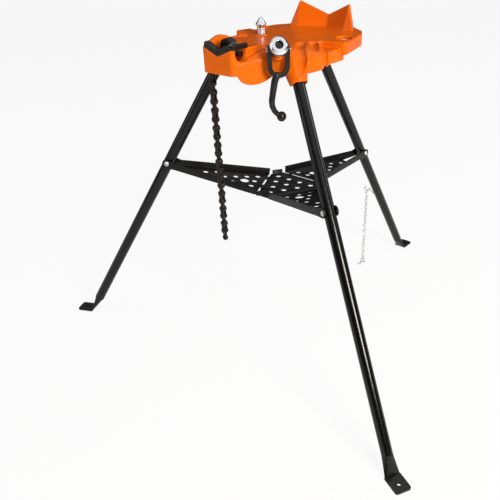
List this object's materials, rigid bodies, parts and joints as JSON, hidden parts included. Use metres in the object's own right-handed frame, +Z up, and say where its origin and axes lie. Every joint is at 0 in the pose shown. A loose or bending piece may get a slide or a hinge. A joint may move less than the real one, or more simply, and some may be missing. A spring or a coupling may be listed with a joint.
{
  "type": "tripod pipe vise stand",
  "caption": "Folding tripod stand whose cast base carries a chain pipe vise, a vee pipe rest, tube bending grooves and a ceiling brace screw, with a folding tray between its tube legs.",
  "frame": {"origin": "on the floor, under the middle of the whole stand's box", "axes": "+Z up; the pipe held in the vise lies along Y; the jaw end with its two front legs looks towards -Y, the single rear leg stands towards +Y; +X is the side of the nut and handle"},
  "size_m": [1.144, 0.9982, 0.821],
  "materials": {
    "cast_enamel": "gloss orange enamel over cast iron",
    "black_tube": "semi-gloss black powder coat on steel tube",
    "black_sheet": "satin black powder coat on pressed sheet",
    "black_steel": "black oxide forged steel",
    "hardened_steel": "dark heat-treated steel, lightly oiled",
    "chrome": "bright plated steel",
    "zinc": "bright zinc plate"
  },
  "bodies": {
    "base": {"base_casting": "cast_enamel", "leg_hinge_pins": "black_steel", "jaw_left": "hardened_steel", "jaw_right": "hardened_steel", "chain_horn": "hardened_steel", "catch_bar": "hardened_steel", "thrust_washer": "zinc"},
    "leg_left": {"leg_left": "black_tube", "tray_pin_left": "black_steel"},
    "leg_right": {"leg_right": "black_tube", "tray_pin_right": "black_steel"},
    "leg_rear": {"leg_rear": "black_tube", "tray_pin_rear": "black_steel", "retainer_hook_top": "zinc"},
    "tray": {"tray_centre": "black_sheet", "tray_hinge_rivets": "black_steel", "tray_catch": "black_steel"},
    "wing_left": {"tray_wing_left": "black_sheet", "arm_rivets_left": "zinc"},
    "wing_right": {"tray_wing_right": "black_sheet", "arm_rivets_right": "zinc"},
    "wing_rear": {"tray_wing_rear": "black_sheet", "arm_rivets_rear": "zinc"},
    "nut": {"handle_nut": "chrome"},
    "handle": {"handle": "black_steel"},
    "chain_screw": {"chain_screw": "hardened_steel", "chain_screw_pin": "hardened_steel"},
    "brace_screw": {"brace_screw": "chrome"},
    "chain_upper": {"chain_outer_plates_upper": "hardened_steel", "chain_inner_plates_upper": "hardened_steel", "chain_pins_upper": "hardened_steel"},
    "chain_middle": {"chain_outer_plates_middle": "hardened_steel", "chain_inner_plates_middle": "hardened_steel", "chain_pins_middle": "hardened_steel"},
    "chain_lower": {"chain_outer_plates_lower": "hardened_steel", "chain_inner_plates_lower": "hardened_steel", "chain_pins_lower": "hardened_steel"},
    "retainer": {"retainer_chain": "zinc", "retainer_hook_bottom": "zinc"}
  },
  "joints": [
    {"name": "fold_left", "type": "hinge", "parent": "base", "child": "leg_left", "pos_m": [-0.0976, -0.25379, 0.73995], "axis": [0.4415, -0.8973, 0], "range_deg": [0, 27.9]},
    {"name": "fold_right", "type": "hinge", "parent": "base", "child": "leg_right", "pos_m": [0.0976, -0.25379, 0.73995], "axis": [0.4415, 0.8973, 0], "range_deg": [0, 27.91]},
    {"name": "fold_rear", "type": "hinge", "parent": "base", "child": "leg_rear", "pos_m": [0, -0.04279, 0.72643], "axis": [-1, 0, 0], "range_deg": [0, 32]},
    {"name": "tray_rise", "type": "slide", "parent": "base", "child": "tray", "axis": [0, 0, 1], "range_m": [0, 0.2101]},
    {"name": "wing_left", "type": "hinge", "parent": "tray", "child": "wing_left", "pos_m": [-0.03703, -0.22399, 0.424], "axis": [0.4415, -0.8973, 0], "range_deg": [0, 78.79]},
    {"name": "wing_right", "type": "hinge", "parent": "tray", "child": "wing_right", "pos_m": [0.03703, -0.22399, 0.424], "axis": [0.4415, 0.8973, 0], "range_deg": [0, 78.79]},
    {"name": "wing_rear", "type": "hinge", "parent": "tray", "child": "wing_rear", "pos_m": [0, -0.10569, 0.424], "axis": [-1, 0, 0], "range_deg": [0, 73.13]},
    {"name": "nut_turn", "type": "hinge", "parent": "base", "child": "nut", "pos_m": [0.1036, -0.30829, 0.77379], "axis": [-0.6302, 0.5675, -0.5299], "range_deg": [0, 30]},
    {"name": "handle_swing", "type": "hinge", "parent": "nut", "child": "handle", "pos_m": [0.1036, -0.30829, 0.77379], "axis": [-0.6691, -0.7431, 0], "range_deg": [0, 45]},
    {"name": "chain_screw_travel", "type": "slide", "parent": "base", "child": "chain_screw", "axis": [0.6302, -0.5675, 0.5299], "range_m": [0, 0.001]},
    {"name": "brace_rise", "type": "slide", "parent": "base", "child": "brace_screw", "axis": [0, 0, 1], "range_m": [0, 0.03]},
    {"name": "chain_swing_upper", "type": "hinge", "parent": "base", "child": "chain_upper", "pos_m": [-0.055, -0.33869, 0.71599], "axis": [0, 1, 0], "range_deg": [-20, 20]},
    {"name": "chain_swing_middle", "type": "hinge", "parent": "chain_upper", "child": "chain_middle", "pos_m": [-0.055, -0.33869, 0.58264], "axis": [0, 1, 0], "range_deg": [-15, 15]},
    {"name": "chain_swing_lower", "type": "hinge", "parent": "chain_middle", "child": "chain_lower", "pos_m": [-0.055, -0.33869, 0.44929], "axis": [0, 1, 0], "range_deg": [-15, 15]},
    {"name": "retainer_swing", "type": "hinge", "parent": "leg_rear", "child": "retainer", "pos_m": [0, 0.21031, 0.28918], "axis": [1, 0, 0], "range_deg": [-32, 32]}
  ],
  "couplings": [
    {"joint": "fold_right", "follows": "fold_left", "ratio": 1},
    {"joint": "fold_rear", "follows": "fold_left", "ratio": 1.1466},
    {"joint": "tray_rise", "follows": "fold_left", "m_per_rad": 0.43126},
    {"joint": "wing_left", "follows": "fold_left", "ratio": 2.8238},
    {"joint": "wing_right", "follows": "fold_left", "ratio": 2.8238},
    {"joint": "wing_rear", "follows": "fold_left", "ratio": 2.6209},
    {"joint": "chain_screw_travel", "follows": "nut_turn", "m_per_rad": 0.00079577}
  ]
}
